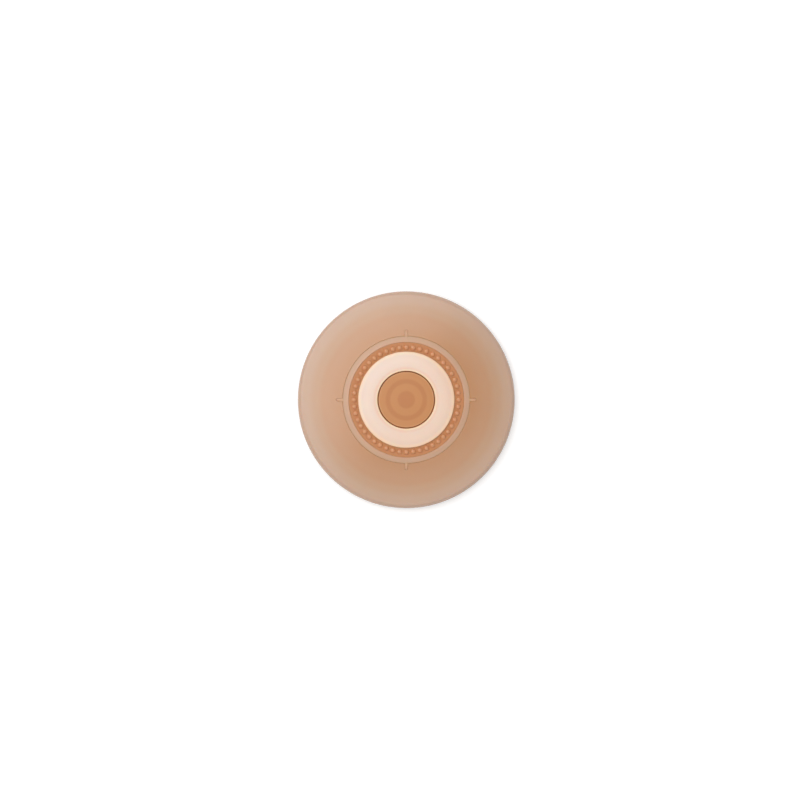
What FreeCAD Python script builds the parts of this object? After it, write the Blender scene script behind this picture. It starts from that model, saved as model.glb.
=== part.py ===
# Round adhesive mount plate with a turning hub and a sprung centre button.
# Millimetres, +Z up. The origin is the centre of the adhesive face, which lies on z = 0.
import FreeCAD, Part
import math
import os

from FreeCAD import Vector

# Adhesive pad
adhesive_thickness = 1.0
pad_margin = 2.2  # from the plate's edge to the edge of the pad's recess
pad_clearance = 0.2  # round the pad, in its recess
pad_recess = 0.6  # depth of the recess under the plate

# Plate
plate_diameter = 61.4
rim_height = 2.8  # upright edge, before it is rounded
rim_rounding = 1.4
rim_steps = 3  # flats that make up the rounding, within 0.04 mm of the true round
floor_thickness = 1.2  # under the hub

# Centre button
button_gap = 0.3  # open gap round the button, in the collar
button_sink = 0.2  # below the collar's top face
button_wall = 0.9  # its top
button_side = 0.75  # its upright side
button_chamfer = 0.25
button_catch = 0.6  # foot that the collar holds back
button_foot = 0.6
button_travel = 1.0
stop_clearance = 0.1  # left at the end of the travel
stem_diameter = 4.9
stem_clearance = 0.1
rib_offset = 2.15  # from the stem to the rib round it
rib_width = 1.25
rib_height = 0.5

# Button spring, of square wire
spring_wire = 0.4
spring_turns = 2

# Turning hub
hub_floor = 0.6
boss_wall = 0.65  # round the stem's guide bore
well_clearance = 0.15  # round the button's foot
tube_wall = 0.7  # between the button's well and the steel ring
flange_thickness = 1.8
flange_lap = 0.9  # under the retaining ring
flange_clearance = 0.1  # round the flange, in the plate
track_width = 2.7  # from the collar to the retaining ring
track_clearance = 0.05  # round the track, in the retaining ring
track_sink = 0.1  # below the retaining ring's inner edge

# Beads on the hub's track
bead_count = 48
bead_offset = 1.2  # from the collar to the bead circle
bead_diameter = 1.5
bead_height = 0.45
bead_sides = 6

# Steel ring in a groove round the button's well
armature_width = 2.65
armature_thickness = 1.2
armature_clearance = 0.05

# Collar ring over the steel ring
collar_bore = 16.3
collar_thickness = 0.9
collar_face = 2.65  # flat part of its top, round the bore
collar_fall = 0.45  # from the flat part to the outer edge
collar_lap = 1.25  # from the groove outwards, on the hub's track

# Retaining ring
ring_width = 1.65
ring_thickness = 1.35  # at its outer edge
ring_sink = 0.08  # below the plate's slope
ring_seam = 0.04  # round the ring and its keys, in the plate
running_gap = 0.15  # over the hub's flange
key_count = 4
key_width = 0.8
key_reach = 1.8  # beyond the ring

# Radii, from the centre outwards
stem_radius = stem_diameter / 2
guide_radius = stem_radius + stem_clearance
boss_radius = guide_radius + boss_wall
rib_radius = stem_radius + rib_offset
spring_radius = (boss_radius + rib_radius) / 2
bore_radius = collar_bore / 2
button_radius = bore_radius - button_gap
face_radius = bore_radius + collar_face
foot_radius = bore_radius + button_catch
well_radius = foot_radius + well_clearance
tube_radius = well_radius + tube_wall
armature_inner_radius = tube_radius + armature_clearance
armature_radius = armature_inner_radius + armature_width
groove_radius = armature_radius + armature_clearance
collar_radius = groove_radius + collar_lap
bead_circle_radius = collar_radius + bead_offset
ring_inner_radius = collar_radius + track_width
track_radius = ring_inner_radius - track_clearance
ring_radius = ring_inner_radius + ring_width
ring_pocket_radius = ring_radius + ring_seam
flange_radius = ring_inner_radius + flange_lap
hub_pocket_radius = flange_radius + flange_clearance
key_tip_radius = ring_radius + key_reach
plate_radius = plate_diameter / 2
recess_radius = plate_radius - pad_margin
pad_radius = recess_radius - pad_clearance

# Heights, from the adhesive face up
plate_bottom = adhesive_thickness - pad_recess
hub_bottom = adhesive_thickness + floor_thickness
well_floor = hub_bottom + hub_floor
flange_top = hub_bottom + flange_thickness
ring_bottom = flange_top + running_gap
crown = ring_bottom + ring_thickness + ring_sink
rim_top = plate_bottom + rim_height
slope = (crown - rim_top) / (plate_radius - ring_pocket_radius)
peak = crown + slope * (ring_pocket_radius - ring_inner_radius)
track_top = peak - ring_sink - track_sink
armature_top = track_top - armature_clearance
groove_floor = armature_top - armature_thickness
collar_top = track_top + collar_thickness
button_top = collar_top - button_sink
button_underside = button_top - button_wall
foot_bottom = track_top - button_foot
boss_top = button_underside - button_travel - stop_clearance
stem_bottom = hub_bottom + button_travel + stop_clearance

AXIS = Vector(0, 0, 1)
CENTRE = Vector(0, 0, 0)


def at(radius, height):
    return Vector(radius, 0, height)


def turned(*corners):
    """Solid of revolution about Z from the corners of its half section."""
    return Part.Face(Part.makePolygon([*corners, corners[0]])).revolve(CENTRE, AXIS, 360)


def patterned(shape, count):
    """Copies of a shape, evenly spaced about Z."""
    return [shape.rotated(CENTRE, AXIS, 360 * n / count) for n in range(count)]


def round_corner(corner, before, after, radius, steps):
    """Points of a rounding that joins the two straight runs that meet at a corner."""
    back = (before - corner).normalize()
    ahead = (after - corner).normalize()
    half_angle = back.getAngle(ahead) / 2
    centre = corner + (back + ahead).normalize() * (radius / math.sin(half_angle))
    start = corner + back * (radius / math.tan(half_angle)) - centre
    end = corner + ahead * (radius / math.tan(half_angle)) - centre
    sweep = start.getAngle(end)
    points = []
    for n in range(steps + 1):
        start_share = math.sin(sweep * (1 - n / steps)) / math.sin(sweep)
        end_share = math.sin(sweep * n / steps) / math.sin(sweep)
        points.append(centre + start * start_share + end * end_share)
    return points


def radial_keys(width, tip_radius):
    """Upright bars with round noses that point out from the retaining ring, evenly spaced about Z."""
    height = peak - ring_bottom
    nose_radius = tip_radius - width / 2
    length = nose_radius - ring_inner_radius
    bar = Part.makeBox(length, width, height, Vector(ring_inner_radius, -width / 2, ring_bottom))
    nose = Part.makeCylinder(width / 2, height, at(nose_radius, ring_bottom))
    return patterned(bar.fuse(nose).removeSplitter(), key_count)


def adhesive_pad():
    """Die-cut foam disc that sticks the plate down."""
    return Part.makeCylinder(pad_radius, adhesive_thickness)


def mount_plate():
    """Plate that falls to a rounded rim, with a stepped pocket, key slots and a recess for the pad."""
    shoulder = at(ring_pocket_radius, crown)
    rim = at(plate_radius, rim_top)
    foot = at(plate_radius, plate_bottom)
    plate = turned(
        shoulder,
        *round_corner(rim, shoulder, foot, rim_rounding, rim_steps),
        foot,
        at(recess_radius, plate_bottom),
        at(recess_radius, adhesive_thickness),
        at(0, adhesive_thickness),
        at(0, hub_bottom),
        at(hub_pocket_radius, hub_bottom),
        at(hub_pocket_radius, ring_bottom),
        at(ring_pocket_radius, ring_bottom),
    )
    slot_width = key_width + 2 * ring_seam
    return plate.cut(radial_keys(slot_width, key_tip_radius + ring_seam))


def bead():
    """Small domed bump: two rings of flat facets that meet in a point, because there are many beads."""
    waist_share = math.cos(math.pi / 4)
    turns = [2 * math.pi * n / bead_sides for n in range(bead_sides)]
    foot = [Vector(math.cos(turn), math.sin(turn), 0) * (bead_diameter / 2) for turn in turns]
    waist = [corner * waist_share + at(0, bead_height * waist_share) for corner in foot]
    tip = at(0, bead_height)
    outlines = [foot]
    for n in range(bead_sides):
        outlines.append([foot[n - 1], foot[n], waist[n], waist[n - 1]])
        outlines.append([waist[n - 1], waist[n], tip])
    facets = [Part.Face(Part.makePolygon([*outline, outline[0]])) for outline in outlines]
    return Part.makeSolid(Part.makeShell(facets))


def swivel_hub():
    """Flange, raised track with beads, groove for the steel ring, and the button's well and guide."""
    hub = turned(
        at(guide_radius, hub_bottom),
        at(flange_radius, hub_bottom),
        at(flange_radius, flange_top),
        at(track_radius, flange_top),
        at(track_radius, track_top),
        at(groove_radius, track_top),
        at(groove_radius, groove_floor),
        at(tube_radius, groove_floor),
        at(tube_radius, track_top),
        at(well_radius, track_top),
        at(well_radius, well_floor),
        at(boss_radius, well_floor),
        at(boss_radius, boss_top),
        at(guide_radius, boss_top),
    )
    first_bead = bead().translated(at(bead_circle_radius, track_top))
    return hub.fuse(patterned(first_bead, bead_count)).removeSplitter()


def button_spring():
    """Coil of square wire round the guide, from the floor of the well to the button."""
    half_wire = spring_wire / 2
    first_turn = well_floor + half_wire
    rise = button_underside - half_wire - first_turn
    path = Part.makeHelix(rise / spring_turns, rise, spring_radius).translated(at(0, first_turn))
    inner = spring_radius - half_wire
    outer = spring_radius + half_wire
    section = Part.makePolygon(
        [
            at(inner, first_turn - half_wire),
            at(outer, first_turn - half_wire),
            at(outer, first_turn + half_wire),
            at(inner, first_turn + half_wire),
            at(inner, first_turn - half_wire),
        ]
    )
    return Part.Wire(path).makePipeShell([section], True, True)


def centre_button():
    """Cap with a foot under the collar, a stem in the hub's guide and a rib round the spring."""
    rib_outer_radius = rib_radius + rib_width
    rib_bottom = button_underside - rib_height
    inside_radius = button_radius - button_side
    return turned(
        at(0, stem_bottom),
        at(stem_radius, stem_bottom),
        at(stem_radius, button_underside),
        at(rib_radius, button_underside),
        at(rib_radius, rib_bottom),
        at(rib_outer_radius, rib_bottom),
        at(rib_outer_radius, button_underside),
        at(inside_radius, button_underside),
        at(inside_radius, foot_bottom),
        at(foot_radius, foot_bottom),
        at(foot_radius, track_top),
        at(button_radius, track_top),
        at(button_radius, button_top - button_chamfer),
        at(button_radius - button_chamfer, button_top),
        at(0, button_top),
    )


def armature_ring():
    """Flat stamped steel ring that a magnetic holder takes hold of."""
    return turned(
        at(armature_inner_radius, groove_floor),
        at(armature_radius, groove_floor),
        at(armature_radius, armature_top),
        at(armature_inner_radius, armature_top),
    )


def collar_ring():
    """Ivory ring bonded over the steel ring: a flat face round the button, falling to its outer edge."""
    return turned(
        at(bore_radius, track_top),
        at(collar_radius, track_top),
        at(collar_radius, collar_top - collar_fall),
        at(face_radius, collar_top),
        at(bore_radius, collar_top),
    )


def retaining_ring():
    """Ring over the hub's flange, cut to the plate's slope, with keys that stop it turning."""
    blank_radius = key_tip_radius + key_width
    blank = turned(
        at(ring_inner_radius, ring_bottom),
        at(blank_radius, ring_bottom),
        at(blank_radius, peak - ring_sink - slope * (blank_radius - ring_inner_radius)),
        at(ring_inner_radius, peak - ring_sink),
    )
    disc = Part.makeCylinder(ring_radius, peak - ring_bottom, at(0, ring_bottom))
    return blank.common(disc.fuse(radial_keys(key_width, key_tip_radius))).removeSplitter()


PIECES = (
    adhesive_pad,
    mount_plate,
    swivel_hub,
    button_spring,
    centre_button,
    armature_ring,
    collar_ring,
    retaining_ring,
)

os.makedirs("parts", exist_ok=True)
for piece in PIECES:
    piece().exportStep(f"parts/{piece.__name__}.step")
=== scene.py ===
import math

import bmesh
import bpy
from mathutils import Matrix, Vector


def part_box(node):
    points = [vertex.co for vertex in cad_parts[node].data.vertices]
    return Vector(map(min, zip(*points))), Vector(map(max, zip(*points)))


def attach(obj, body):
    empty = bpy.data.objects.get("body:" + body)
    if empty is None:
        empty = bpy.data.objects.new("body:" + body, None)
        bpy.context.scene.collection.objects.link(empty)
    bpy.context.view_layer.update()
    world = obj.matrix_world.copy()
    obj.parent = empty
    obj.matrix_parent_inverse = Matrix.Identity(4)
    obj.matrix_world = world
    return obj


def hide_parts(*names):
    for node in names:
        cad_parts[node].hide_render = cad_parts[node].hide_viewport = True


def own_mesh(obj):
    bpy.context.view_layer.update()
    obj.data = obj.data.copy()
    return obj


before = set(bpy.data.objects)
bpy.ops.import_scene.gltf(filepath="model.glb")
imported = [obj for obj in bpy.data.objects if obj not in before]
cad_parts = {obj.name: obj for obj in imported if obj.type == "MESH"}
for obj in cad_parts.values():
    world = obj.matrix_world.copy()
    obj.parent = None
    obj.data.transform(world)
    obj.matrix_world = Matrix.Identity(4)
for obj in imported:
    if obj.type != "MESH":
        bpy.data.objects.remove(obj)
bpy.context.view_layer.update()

# Adhesive pad: a die-cut disc of closed-cell acrylic foam, sticky on both faces.
# It lies in the recess under the plate and stands proud of it, so that only foam touches what the plate is
# stuck to. The die leaves its edge bulging a little between the two faces.
mm = 0.001
turn_steps = 256
corner_steps = 5
flat_strip = 0.06
stripped_run = 4 * flat_strip  # shorter runs get no strips
merge_distance = 0.0005
sharp_angle = math.radians(32)
pad_bulge = 0.1
foam_cell = 0.45  # drawn coarser than the real cells of about 0.1 mm, which would not show
pebble_depth = 0.08


def linear(colour):
    """An sRGB hex colour as linear RGBA."""
    channels = [int(colour[n:n + 2], 16) / 255 for n in (1, 3, 5)]
    return [c / 12.92 if c <= 0.04045 else ((c + 0.055) / 1.055) ** 2.4 for c in channels] + [1.0]


def node(tree, kind, inputs=None, **settings):
    """Adds a node with its settings, and sets or links its inputs."""
    made = tree.nodes.new(kind)
    for setting, value in settings.items():
        setattr(made, setting, value)
    for socket, value in (inputs or {}).items():
        if isinstance(value, bpy.types.NodeSocket):
            tree.links.new(value, made.inputs[socket])
        else:
            made.inputs[socket].default_value = value
    return made


def new_material(name):
    """An empty material, and the tree that its nodes go in."""
    made = bpy.data.materials.new(name)
    made.use_nodes = True
    made.node_tree.nodes.clear()
    return made, made.node_tree


def box(cad_node):
    """The radius, lowest point and highest point of a round solid, in mm."""
    low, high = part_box(cad_node)
    return high.x / mm, low.z / mm, high.z / mm


def as_piece(name, shape):
    """The finished mesh, modelled in mm, as an object in metres."""
    bmesh.ops.scale(shape, vec=(mm, mm, mm), verts=shape.verts)
    mesh = bpy.data.meshes.new(name)
    shape.to_mesh(mesh)
    shape.free()
    piece = bpy.data.objects.new(name, mesh)
    bpy.context.scene.collection.objects.link(piece)
    return piece


def turned(name, *corners):
    """Turns a half section about the Z axis. Each corner has a radius, a height and a rounding.
    A section that starts on the axis also ends there, and any other closes on itself.
    A narrow strip at each end of a straight run keeps the run flat to the eye beside a rounding."""
    shape = bmesh.new()
    points = [Vector((radius, 0, height)) for radius, height, rounding in corners]
    verts = [shape.verts.new(point) for point in points]
    for before, after in zip(verts, verts[1:]):
        shape.edges.new((before, after))
    if points[0].x > 0:
        shape.edges.new((verts[-1], verts[0]))
    for n, (radius, height, rounding) in enumerate(corners):
        if rounding:
            ahead = points[(n + 1) % len(points)] - points[n]
            behind = points[n] - points[n - 1]
            tangent = rounding * math.tan(ahead.angle(behind) / 2)
            bmesh.ops.bevel(shape, geom=[verts[n]], offset=tangent, offset_type="OFFSET", affect="VERTICES",
                            segments=corner_steps, profile=0.5, material=-1)
    for run in [edge for edge in shape.edges if edge.calc_length() > stripped_run]:
        length = run.calc_length()
        start, end = run.verts
        strip = bmesh.utils.edge_split(run, start, flat_strip / length)[0]
        rest = strip if end in strip.verts else run
        bmesh.utils.edge_split(rest, end, flat_strip / (length - flat_strip))
    bmesh.ops.spin(shape, geom=shape.verts[:] + shape.edges[:], axis=(0, 0, 1), angle=2 * math.pi,
                   steps=turn_steps, use_merge=True)
    bmesh.ops.remove_doubles(shape, verts=shape.verts, dist=merge_distance)
    bmesh.ops.recalc_face_normals(shape, faces=shape.faces)
    return as_piece(name, shape)


def fit(piece, finish, cad_node, body):
    """Gives a piece its finish and puts it on its body, in the place of its plain solid."""
    piece.data.materials.append(finish)
    piece.data.shade_smooth()
    piece.data.set_sharp_from_angle(angle=sharp_angle)
    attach(piece, body)
    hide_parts(cad_node)


def acrylic_foam():
    """Closed cells under a tacky skin: dark grey, matt and finely pebbled."""
    finish, tree = new_material("acrylic_foam")
    place = node(tree, "ShaderNodeTexCoord").outputs["Object"]
    cells = node(tree, "ShaderNodeTexVoronoi", {"Vector": place, "Scale": 1 / (foam_cell * mm)})
    tone = node(tree, "ShaderNodeValToRGB", {"Fac": cells.outputs["Distance"]})
    tone.color_ramp.elements[0].color = linear("#5B5A59")
    tone.color_ramp.elements[1].color = linear("#3F3E3E")
    pebbles = node(tree, "ShaderNodeBump", {
        "Height": cells.outputs["Distance"],
        "Strength": 0.5,
        "Distance": pebble_depth * mm,
    }, invert=True)
    shader = node(tree, "ShaderNodeBsdfPrincipled", {
        "Base Color": tone.outputs["Color"],
        "Roughness": 0.72,
        "IOR": 1.47,
        "Normal": pebbles.outputs["Normal"],
    })
    node(tree, "ShaderNodeOutputMaterial", {"Surface": shader.outputs["BSDF"]})
    return finish


pad_radius, pad_bottom, pad_top = box("adhesive_pad")
bulge_rounding = pad_top - pad_bottom
foam_disc = turned(
    "foam_disc",
    (0, pad_bottom, 0),
    (pad_radius - pad_bulge, pad_bottom, 0),
    (pad_radius, (pad_bottom + pad_top) / 2, bulge_rounding),
    (pad_radius - pad_bulge, pad_top, 0),
    (0, pad_top, 0),
)
fit(foam_disc, acrylic_foam(), "adhesive_pad", "plate")

# Mount plate: one moulding in milky amber polycarbonate, a shallow cone that falls from the hub to a round
# rim. The stepped pocket in its middle takes the hub and the retaining ring, and four slots take that
# ring's keys.
rim_height = 2.8
rim_rounding = 1.4
foot_rounding = 0.2
shoulder_rounding = 0.06
pad_clearance = 0.2
hub_clearance = 0.1
ring_seam = 0.04
key_width = 0.8
key_reach = 1.8
nose_steps = 8
brink_steps = 3
mould_grain = 0.5  # drawn coarser than the real spark-eroded grain of about 0.05 mm, which would not show
grain_depth = 0.02
sheen_spread = 0.015  # how far the grain varies the roughness
milk_cloud = 9.0
milk_swing = 0.03  # how far the milk clouds vary the tone
plastic_ior = 1.585  # polycarbonate's, and close to that of ABS
glow_reach = (1.0, 0.5, 0.25)  # red light goes furthest in amber and ivory plastic


def moulded_plastic(name, zones, roughness, gloss, glow_depth, crest=None, pearl="#FFFFFF"):
    """Injection-moulded plastic with a satin grain. Zones are rings of colour: a radius in mm and a hex.
    Gloss is 0.5 for a plain moulded face, less where the mould is etched and more where it is polished.
    Light sinks in by about the glow depth, in mm, which softens edges and shade.
    A crest is a second colour that comes in between two heights, in mm, which paints a highlight on raised
    tops.
    Pearl is the colour of the gloss, which is white unless pearl pigment is mixed in."""
    finish, tree = new_material(name)
    place = node(tree, "ShaderNodeTexCoord").outputs["Object"]
    across = node(tree, "ShaderNodeVectorMath", {0: place, 1: (1, 1, 0)}, operation="MULTIPLY")
    radius = node(tree, "ShaderNodeVectorMath", {0: across.outputs["Vector"]}, operation="LENGTH")
    reach = zones[-1][0]
    share = node(tree, "ShaderNodeMath", {
        0: radius.outputs["Value"],
        1: 1 / (reach * mm),
    }, operation="MULTIPLY")
    tone = node(tree, "ShaderNodeValToRGB", {"Fac": share.outputs["Value"]})
    tone.color_ramp.interpolation = "EASE"
    stops = tone.color_ramp.elements
    while len(stops) < len(zones):
        stops.new(1.0)
    for stop, (zone_radius, colour) in zip(stops, zones):
        stop.position = zone_radius / reach
        stop.color = linear(colour)
    if crest:
        low, high, colour = crest
        axes = node(tree, "ShaderNodeSeparateXYZ", {"Vector": place})
        rise = node(tree, "ShaderNodeMapRange", {
            "Value": axes.outputs["Z"],
            "From Min": low * mm,
            "From Max": high * mm,
        })
        tone = node(tree, "ShaderNodeMixRGB", {
            "Fac": rise.outputs["Result"],
            "Color1": tone.outputs["Color"],
            "Color2": linear(colour),
        })
    cloud = node(tree, "ShaderNodeTexNoise", {
        "Vector": place,
        "Scale": 1 / (milk_cloud * mm),
        "Detail": 2.0,
    })
    milk = node(tree, "ShaderNodeMapRange", {
        "Value": cloud.outputs["Fac"],
        "To Min": 1 - milk_swing,
        "To Max": 1 + milk_swing,
    })
    clouded = node(tree, "ShaderNodeVectorMath", {
        0: tone.outputs["Color"],
        "Scale": milk.outputs["Result"],
    }, operation="SCALE")
    grain = node(tree, "ShaderNodeTexNoise", {
        "Vector": place,
        "Scale": 1 / (mould_grain * mm),
        "Detail": 3.0,
    })
    sheen = node(tree, "ShaderNodeMapRange", {
        "Value": grain.outputs["Fac"],
        "To Min": roughness - sheen_spread,
        "To Max": roughness + sheen_spread,
    })
    satin = node(tree, "ShaderNodeBump", {
        "Height": grain.outputs["Fac"],
        "Strength": 0.12,
        "Distance": grain_depth * mm,
    })
    shader = node(tree, "ShaderNodeBsdfPrincipled", {
        "Base Color": clouded.outputs["Vector"],
        "Roughness": sheen.outputs["Result"],
        "Normal": satin.outputs["Normal"],
        "IOR": plastic_ior,
        "Specular IOR Level": gloss,
        "Specular Tint": linear(pearl),
        "Subsurface Weight": 0.4,
        "Subsurface Radius": glow_reach,
        "Subsurface Scale": glow_depth * mm,
    })
    node(tree, "ShaderNodeOutputMaterial", {"Surface": shader.outputs["BSDF"]})
    return finish


def edges_among(shape, verts):
    """The edges of a shape that run between two of the given vertices."""
    return [edge for edge in shape.edges if all(end in verts for end in edge.verts)]


def round_edges(shape, bar, edges, rounding, steps):
    """Rounds some edges of a bar, and gives back the vertices that the bar then has."""
    rounded = bmesh.ops.bevel(shape, geom=edges, offset=rounding, offset_type="OFFSET", affect="EDGES",
                              segments=steps, profile=0.5, material=-1)
    return list(dict.fromkeys(v for v in [*bar, *rounded["verts"]] if v.is_valid))


def radial_keys(width, inner_radius, tip_radius, bottom, top, fall=0, rounding=0):
    """Four bars with round noses, which point outwards from the ring at its quarter turns.
    Their top falls outwards by the given slope, and its edges have the given rounding."""
    shape = bmesh.new()
    slant = Matrix.Translation((0, 0, fall * inner_radius))
    slant[2][0] = -fall
    for quarter in range(4):
        middle = Matrix.Translation(((inner_radius + tip_radius) / 2, 0, (bottom + top) / 2))
        size = Matrix.Diagonal((tip_radius - inner_radius, width, top - bottom, 1))
        turn = Matrix.Rotation(quarter * math.pi / 2, 4, "Z")
        bar = bmesh.ops.create_cube(shape, size=1, matrix=middle @ size)["verts"]
        tip = edges_among(shape, [v for v in bar if v.co.x > tip_radius - width])
        nose = [edge for edge in tip if abs(edge.verts[0].co.z - edge.verts[1].co.z) > width / 2]
        bar = round_edges(shape, bar, nose, width / 2, nose_steps)
        bmesh.ops.remove_doubles(shape, verts=bar, dist=merge_distance)
        bar = [v for v in bar if v.is_valid]
        if rounding:
            brink = edges_among(shape, [v for v in bar if v.co.z > top - rounding])
            bar = round_edges(shape, bar, brink, rounding, brink_steps)
        bmesh.ops.transform(shape, matrix=slant, verts=[v for v in bar if v.co.z > bottom + width / 2])
        bmesh.ops.transform(shape, matrix=turn, verts=bar)
    bmesh.ops.recalc_face_normals(shape, faces=shape.faces)
    return as_piece("radial_keys", shape)


def join(piece, tool, operation):
    """Cuts a tool out of a piece, or joins it on, and takes the tool away.
    The slivers that this leaves are merged."""
    step = piece.modifiers.new("join", "BOOLEAN")
    step.operation = operation
    step.object = tool
    step.solver = "EXACT"
    joined = piece.evaluated_get(bpy.context.evaluated_depsgraph_get())
    mesh = bpy.data.meshes.new_from_object(joined)
    shape = bmesh.new()
    shape.from_mesh(mesh)
    bmesh.ops.remove_doubles(shape, verts=shape.verts, dist=merge_distance * mm)
    bmesh.ops.dissolve_degenerate(shape, edges=shape.edges, dist=merge_distance * mm)
    shape.to_mesh(mesh)
    shape.free()
    piece.modifiers.clear()
    piece.data = mesh
    bpy.data.objects.remove(tool)


plate_radius, plate_bottom, crown = box("mount_plate")
hub_radius, hub_bottom, bead_tip = box("swivel_hub")
key_tip_radius, ring_bottom, ring_top = box("retaining_ring")
ring_radius = key_tip_radius - key_reach
pocket_radius = ring_radius + ring_seam
recess_radius = pad_radius + pad_clearance
rim_top = plate_bottom + rim_height
slope = (crown - rim_top) / (plate_radius - pocket_radius)
plate_moulding = turned(
    "plate_moulding",
    (0, pad_top, 0),
    (recess_radius, pad_top, 0),
    (recess_radius, plate_bottom, 0),
    (plate_radius, plate_bottom, foot_rounding),
    (plate_radius, rim_top, rim_rounding),
    (pocket_radius, crown, shoulder_rounding),
    (pocket_radius, ring_bottom, 0),
    (hub_radius + hub_clearance, ring_bottom, 0),
    (hub_radius + hub_clearance, hub_bottom, 0),
    (0, hub_bottom, 0),
)
slot_width = key_width + 2 * ring_seam
slot_tip_radius = key_tip_radius + ring_seam
slot_top = 2 * crown  # well clear of the cone
key_slots = radial_keys(slot_width, ring_radius, slot_tip_radius, ring_bottom, slot_top)
join(plate_moulding, key_slots, "DIFFERENCE")
# Light scatters in the milky plastic, so its amber looks soft, and it pales outwards as the wall thins.
milky_polycarbonate = moulded_plastic(
    "milky_polycarbonate",
    [(18.0, "#C08A5D"), (23.2, "#C2916A"), (25.5, "#C39977"), (28.3, "#C5A186"), (30.7, "#C6A58F")],
    roughness=0.26,
    gloss=0.55,
    glow_depth=1.2,
)
fit(plate_moulding, milky_polycarbonate, "mount_plate", "plate")

# Swivel hub: one moulding in clear amber polycarbonate, which turns on the floor of the plate's pocket.
# Its flange runs under the retaining ring, and the track inside that ring carries small domed beads for a
# fingertip. A groove takes the steel ring, and the well in the middle has a guide for the button's stem.
flange_thickness = 1.8
hub_floor = 0.6
guide_radius = 2.55
boss_wall = 0.65
boss_height = 1.6
well_radius = 8.9
tube_wall = 0.7
groove_radius = 12.35
track_radius = 16.25
bead_count = 48
bead_circle_radius = 14.8
bead_diameter = 1.5
bead_sides = 16
bead_rows = 10
edge_rounding = 0.05

flange_top = hub_bottom + flange_thickness
well_floor = hub_bottom + hub_floor
boss_radius = guide_radius + boss_wall
boss_top = well_floor + boss_height
tube_radius = well_radius + tube_wall
steel_radius, steel_bottom, steel_top = box("armature_ring")
collar_radius, track_top, collar_top = box("collar_ring")
hub_moulding = turned(
    "hub_moulding",
    (guide_radius, hub_bottom, 0),
    (hub_radius, hub_bottom, edge_rounding),
    (hub_radius, flange_top, edge_rounding),
    (track_radius, flange_top, 0),
    (track_radius, track_top, edge_rounding),
    (groove_radius, track_top, 0),
    (groove_radius, steel_bottom, 0),
    (tube_radius, steel_bottom, 0),
    (tube_radius, track_top, 0),
    (well_radius, track_top, edge_rounding),
    (well_radius, well_floor, edge_rounding),
    (boss_radius, well_floor, edge_rounding),
    (boss_radius, boss_top, edge_rounding),
    (guide_radius, boss_top, edge_rounding),
)
bead_row = bmesh.new()
for bead in range(bead_count):
    turn = Matrix.Rotation(2 * math.pi * bead / bead_count, 4, "Z")
    place = Matrix.Translation((bead_circle_radius, 0, track_top))
    flatten = Matrix.Diagonal((1, 1, 2 * (bead_tip - track_top) / bead_diameter, 1))
    bmesh.ops.create_uvsphere(bead_row, u_segments=bead_sides, v_segments=bead_rows,
                              radius=bead_diameter / 2, matrix=turn @ place @ flatten)
join(hub_moulding, as_piece("bead_row", bead_row), "UNION")
# With no milk in it the amber looks deeper. It is painted darker beside the collar as painted shade, and
# each bead has a paler crest, which is a painted highlight.
amber_polycarbonate = moulded_plastic(
    "amber_polycarbonate",
    # the darker stops nearest the collar are painted shade
    [(13.6, "#B97C47"), (14.3, "#BD7A43"), (15.9, "#C27F4B"), (16.3, "#C88650"), (17.2, "#C88650")],
    roughness=0.35,
    gloss=0.4,
    glow_depth=0.8,
    # the crest colour is a painted highlight on the beads' tops
    crest=(track_top, bead_tip, "#CF9267"),
)
fit(hub_moulding, amber_polycarbonate, "swivel_hub", "hub")

# Button spring: a short coil, wound from drawn spring steel wire of round section.
# It stands on the floor of the well, round the hub's guide, and lifts the button.
wire_diameter = 0.4
wire_sides = 16
coil_turns = 2
steps_a_turn = 64
draw_line = 0.3  # drawn coarser than the real lines of about 0.02 mm, which would not show


def spring_steel():
    """Drawn wire, bright and smooth, with faint marks left by the die."""
    finish, tree = new_material("spring_steel")
    place = node(tree, "ShaderNodeTexCoord").outputs["Object"]
    lines = node(tree, "ShaderNodeTexNoise", {"Vector": place, "Scale": 1 / (draw_line * mm)})
    sheen = node(tree, "ShaderNodeMapRange", {
        "Value": lines.outputs["Fac"],
        "To Min": 0.22,
        "To Max": 0.38,
    })
    shader = node(tree, "ShaderNodeBsdfPrincipled", {
        "Base Color": linear("#B9B8B6"),
        "Metallic": 1.0,
        "Roughness": sheen.outputs["Result"],
    })
    node(tree, "ShaderNodeOutputMaterial", {"Surface": shader.outputs["BSDF"]})
    return finish


coil_radius, coil_bottom, coil_top = box("button_spring")
wire_radius = wire_diameter / 2
wire = bmesh.new()
upright = Matrix.Rotation(math.pi / 2, 4, "X")
start = Matrix.Translation((coil_radius - wire_radius, 0, coil_bottom + wire_radius))
bmesh.ops.create_circle(wire, cap_ends=True, radius=wire_radius, segments=wire_sides,
                        matrix=start @ upright)
rise = coil_top - coil_bottom - wire_diameter
coil_steps = coil_turns * steps_a_turn
swept = bmesh.ops.spin(wire, geom=wire.edges[:], axis=(0, 0, 1), dvec=(0, 0, rise / coil_steps),
                       angle=2 * math.pi * coil_turns, steps=coil_steps)
far_end = [part for part in swept["geom_last"] if isinstance(part, bmesh.types.BMEdge)]
bmesh.ops.contextual_create(wire, geom=far_end)
bmesh.ops.recalc_face_normals(wire, faces=wire.faces)
coil_spring = as_piece("coil_spring", wire)
fit(coil_spring, spring_steel(), "button_spring", "hub")
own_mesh(coil_spring)

# Centre button: one moulding in the hub's amber, a flat cap whose foot is held under the collar.
# Its stem slides in the hub's guide, and a rib centres the spring.
cap_radius = 7.85
cap_wall = 0.9
cap_fall = 0.12
cap_crown = 180  # radius of its slightly domed top
cap_rounding = 0.12
side_wall = 0.75
inner_rounding = 0.2
skirt_rounding = 0.05
ledge_rounding = 0.1
foot_height = 0.6
stem_radius = 2.45
stem_rounding = 0.3
rib_radius = 4.6
rib_width = 1.25
rib_height = 0.5
rib_rounding = 0.1

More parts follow.
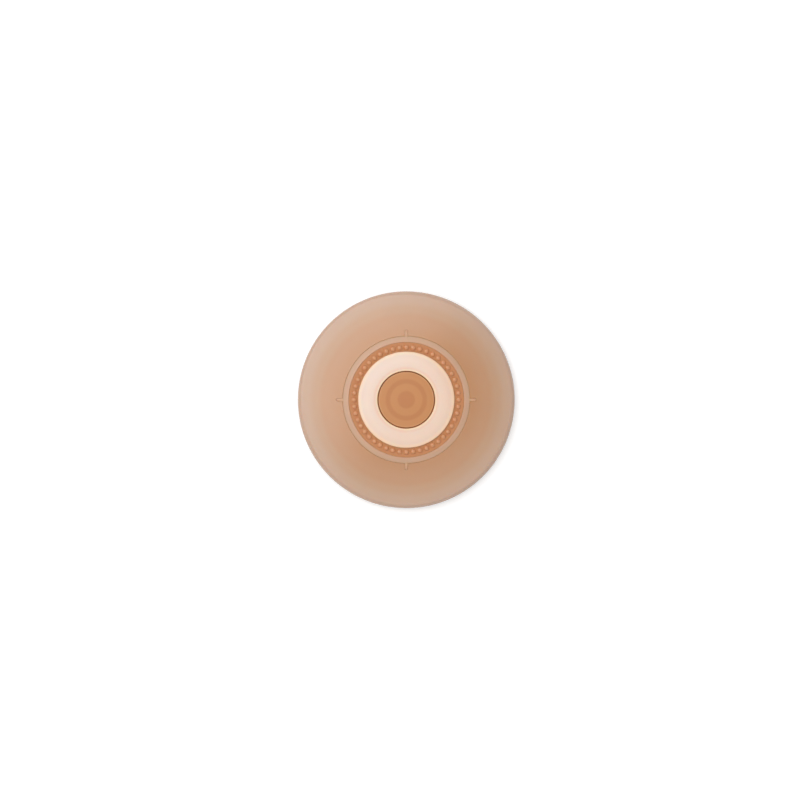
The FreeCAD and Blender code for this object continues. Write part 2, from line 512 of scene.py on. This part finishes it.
foot_radius, stem_bottom, cap_top = box("centre_button")
cap_underside = cap_top - cap_wall
foot_bottom = track_top - foot_height
push_button = turned(
    "push_button",
    (0, stem_bottom, 0),
    (stem_radius, stem_bottom, stem_rounding),
    (stem_radius, cap_underside, inner_rounding),
    (rib_radius, cap_underside, 0),
    (rib_radius, cap_underside - rib_height, rib_rounding),
    (rib_radius + rib_width, cap_underside - rib_height, rib_rounding),
    (rib_radius + rib_width, cap_underside, 0),
    (cap_radius - side_wall, cap_underside, inner_rounding),
    (cap_radius - side_wall, foot_bottom, skirt_rounding),
    (foot_radius, foot_bottom, ledge_rounding),
    (foot_radius, track_top, ledge_rounding),
    (cap_radius, track_top, 0),
    (cap_radius, cap_top - cap_fall, cap_rounding),
    (cap_radius / 2, cap_top, cap_crown),
    (0, cap_top, 0),
)
# The stem and the rib show through the clear cap as a darker spot and ring. The lighter band at the cap's
# rounded edge is painted light, and the side and foot, seen only through the gap round the cap, are painted
# dark as shade in that gap.
button_polycarbonate = moulded_plastic(
    "button_polycarbonate",
    [(2.1, "#C07D47"), (2.8, "#C78850"), (4.2, "#C78850"), (4.9, "#C07D47"), (5.5, "#C07D47"),
     # CD9460 is painted light on the rounded edge, and #A25C22 is painted shade in the gap
     (6.2, "#C78850"), (7.4, "#C78850"), (7.7, "#CD9460"), (7.82, "#CD9460"), (7.86, "#A25C22"),
     (8.75, "#A25C22")],
    roughness=0.35,
    gloss=0.4,
    glow_depth=0.4,
)
fit(push_button, button_polycarbonate, "centre_button", "button")

# Armature ring: a flat ring stamped from zinc-plated steel, which a magnetic holder pulls on through the
# collar. It lies in the hub's groove round the button's well. The punch rounds its top edges and leaves the
# lower ones square.
punch_rounding = 0.2
steel_bore_radius = 9.65
zinc_spangle = 1.5


def plated_steel():
    """Zinc plate on stamped sheet: a cool grey metal with a faint cloudy spangle."""
    finish, tree = new_material("plated_steel")
    place = node(tree, "ShaderNodeTexCoord").outputs["Object"]
    spangle = node(tree, "ShaderNodeTexVoronoi", {"Vector": place, "Scale": 1 / (zinc_spangle * mm)})
    sheen = node(tree, "ShaderNodeMapRange", {
        "Value": spangle.outputs["Distance"],
        "To Min": 0.3,
        "To Max": 0.45,
    })
    shader = node(tree, "ShaderNodeBsdfPrincipled", {
        "Base Color": linear("#A9ABAE"),
        "Metallic": 1.0,
        "Roughness": sheen.outputs["Result"],
    })
    node(tree, "ShaderNodeOutputMaterial", {"Surface": shader.outputs["BSDF"]})
    return finish


steel_ring = turned(
    "steel_ring",
    (steel_bore_radius, steel_bottom, 0),
    (steel_radius, steel_bottom, 0),
    (steel_radius, steel_top, punch_rounding),
    (steel_bore_radius, steel_top, punch_rounding),
)
fit(steel_ring, plated_steel(), "armature_ring", "hub")

# Collar ring: a satin ring moulded in ivory ABS with pearl pigment, bonded to the hub's track over the
# steel ring. Its inner lip holds the button in. Its top, which a holder meets, is flat round the bore and
# curves down to the outer edge.
collar_bore_radius = 8.15
collar_rounding = 0.15
collar_fall = 0.45
collar_knee_radius = 11.3  # where the flat and the fall of its top would meet
collar_crown = 20  # radius of the curve between them

ivory_collar = turned(
    "ivory_collar",
    (collar_bore_radius, track_top, 0),
    (collar_radius, track_top, 0),
    (collar_radius, collar_top - collar_fall, collar_rounding),
    (collar_knee_radius, collar_top, collar_crown),
    (collar_bore_radius, collar_top, collar_rounding),
)
# The ivory is painted lighter and warmer at its two edges, as painted light where light glows out through
# them, and the pearl pigment gives its gloss a cool white gleam.
ivory_abs = moulded_plastic(
    "ivory_abs",
    # the first two and the last two stops are painted light at the bore and outer edges
    [(8.2, "#FFCB98"), (8.45, "#FFDAB6"), (8.8, "#F8C9AB"), (9.6, "#F8D3BA"), (11.0, "#F9D3B9"),
     (12.4, "#F6CFB4"), (13.2, "#FFD4B0"), (13.6, "#FFCDA2")],
    roughness=0.28,
    gloss=0.85,
    glow_depth=0.3,
    pearl="#8AE1FF",
)
fit(ivory_collar, ivory_abs, "collar_ring", "hub")

# Retaining ring: a ring moulded in frosted polycarbonate, which drops into the plate over the hub's flange
# and holds the hub down. Its top goes on with the plate's slope, and its four keys lie in the plate's slots
# and stop it turning.
ring_bore_radius = 16.3
ring_rounding = 0.05
lip_rounding = 0.06
key_rounding = 0.06
key_root = 0.3  # how far the keys run into the ring

keyed_ring = turned(
    "keyed_ring",
    (ring_bore_radius, ring_bottom, 0),
    (ring_radius, ring_bottom, 0),
    (ring_radius, ring_top - slope * (ring_radius - ring_bore_radius), ring_rounding),
    (ring_bore_radius, ring_top, lip_rounding),
)
key_root_radius = ring_radius - key_root
key_root_top = ring_top - slope * (key_root_radius - ring_bore_radius)
keys = radial_keys(key_width, key_root_radius, key_tip_radius, ring_bottom, key_root_top,
                   fall=slope, rounding=key_rounding)
join(keyed_ring, keys, "UNION")
# The frost scatters light at the surface, so the ring looks paler and greyer than the amber on both sides.
frosted_polycarbonate = moulded_plastic(
    "frosted_polycarbonate",
    [(16.6, "#CEA081"), (16.95, "#C79F81"), (17.5, "#C79F82"), (17.85, "#C49873"), (18.3, "#D09F7A"),
     (19.75, "#D09F7A")],
    roughness=0.45,
    gloss=0.5,
    glow_depth=0.8,
)
fit(keyed_ring, frosted_polycarbonate, "retaining_ring", "plate")

# Studio: a white floor, a large soft lamp up to the left and a weak one below, and an even white surround.
# The camera looks straight down through a long lens, with the plate as wide and as far off centre as in the
# photo.
photo_width_px = 800
plate_width_px = 217
plate_centre_px = (406.3, 399.75)
lens_mm = 300
sensor_mm = 36
surround_level = 0.52
floor_radius = 4000
floor_sides = 96
floor_gap = 0.02  # keeps the floor's face clear of the foam's
floor_white = "#E0E0E0"
floor_lift = 0.42
lamp_distance = 700
lamp_watts = 3.1
lamp_width = 744
lamp_lean = math.radians(31)
lamp_bearing = math.radians(142)
fill_watts = 0.38
fill_width = 500
fill_lean = math.radians(30)
fill_bearing = math.radians(285)


def seen_directly(tree):
    """1 for rays that come from the camera, a mirror or clear plastic, and 0 for rays that carry light."""
    path = node(tree, "ShaderNodeLightPath").outputs
    shown = path["Is Camera Ray"]
    for ray in ("Is Glossy Ray", "Is Transmission Ray"):
        shown = node(tree, "ShaderNodeMath", {0: shown, 1: path[ray]}, operation="MAXIMUM").outputs["Value"]
    return shown


def white_card():
    """Matt white card, lifted to full white where it is seen in open light."""
    finish, tree = new_material("white_card")
    card = node(tree, "ShaderNodeBsdfDiffuse", {"Color": linear(floor_white)})
    lift = node(tree, "ShaderNodeMath", {0: seen_directly(tree), 1: floor_lift}, operation="MULTIPLY")
    glow = node(tree, "ShaderNodeEmission", {"Strength": lift.outputs["Value"]})
    both = node(tree, "ShaderNodeAddShader", {0: card.outputs["BSDF"], 1: glow.outputs["Emission"]})
    node(tree, "ShaderNodeOutputMaterial", {"Surface": both.outputs["Shader"]})
    return finish


floor_shape = bmesh.new()
bmesh.ops.create_circle(floor_shape, cap_ends=True, radius=floor_radius, segments=floor_sides,
                        matrix=Matrix.Translation((0, 0, -floor_gap)))
floor = as_piece("floor", floor_shape)
floor.data.materials.append(white_card())

surround = bpy.data.worlds.new("surround")
surround.use_nodes = True
sky = surround.node_tree
sky.nodes.clear()
level = node(sky, "ShaderNodeMapRange", {
    "Value": seen_directly(sky),
    "To Min": surround_level,
    "To Max": 1.0,
})
backdrop = node(sky, "ShaderNodeBackground", {
    "Color": linear("#FFFFFF"),
    "Strength": level.outputs["Result"],
})
node(sky, "ShaderNodeOutputWorld", {"Surface": backdrop.outputs["Background"]})
bpy.context.scene.world = surround

for lamp_name, watts, width, lean, bearing in (
    ("soft_lamp", lamp_watts, lamp_width, lamp_lean, lamp_bearing),
    ("fill_lamp", fill_watts, fill_width, fill_lean, fill_bearing),
):
    lamp_data = bpy.data.lights.new(lamp_name, "AREA")
    lamp_data.energy = watts
    lamp_data.size = width * mm
    lamp = bpy.data.objects.new(lamp_name, lamp_data)
    toward_lamp = Matrix.Rotation(bearing, 3, "Z") @ Vector((math.sin(lean), 0, math.cos(lean)))
    lamp.location = toward_lamp * lamp_distance * mm
    lamp.rotation_euler = toward_lamp.to_track_quat("Z", "Y").to_euler()
    lamp.visible_camera = False
    bpy.context.scene.collection.objects.link(lamp)

pixel = 2 * plate_radius / plate_width_px
view_width = photo_width_px * pixel
camera_data = bpy.data.cameras.new("camera")
camera_data.lens = lens_mm
camera_data.sensor_width = sensor_mm
camera = bpy.data.objects.new("camera", camera_data)
camera.location = Vector((
    (photo_width_px / 2 - plate_centre_px[0]) * pixel,
    (plate_centre_px[1] - photo_width_px / 2) * pixel,
    rim_top + view_width * lens_mm / sensor_mm,
)) * mm
bpy.context.scene.collection.objects.link(camera)
bpy.context.scene.camera = camera
bpy.context.scene.view_settings.view_transform = "Standard"
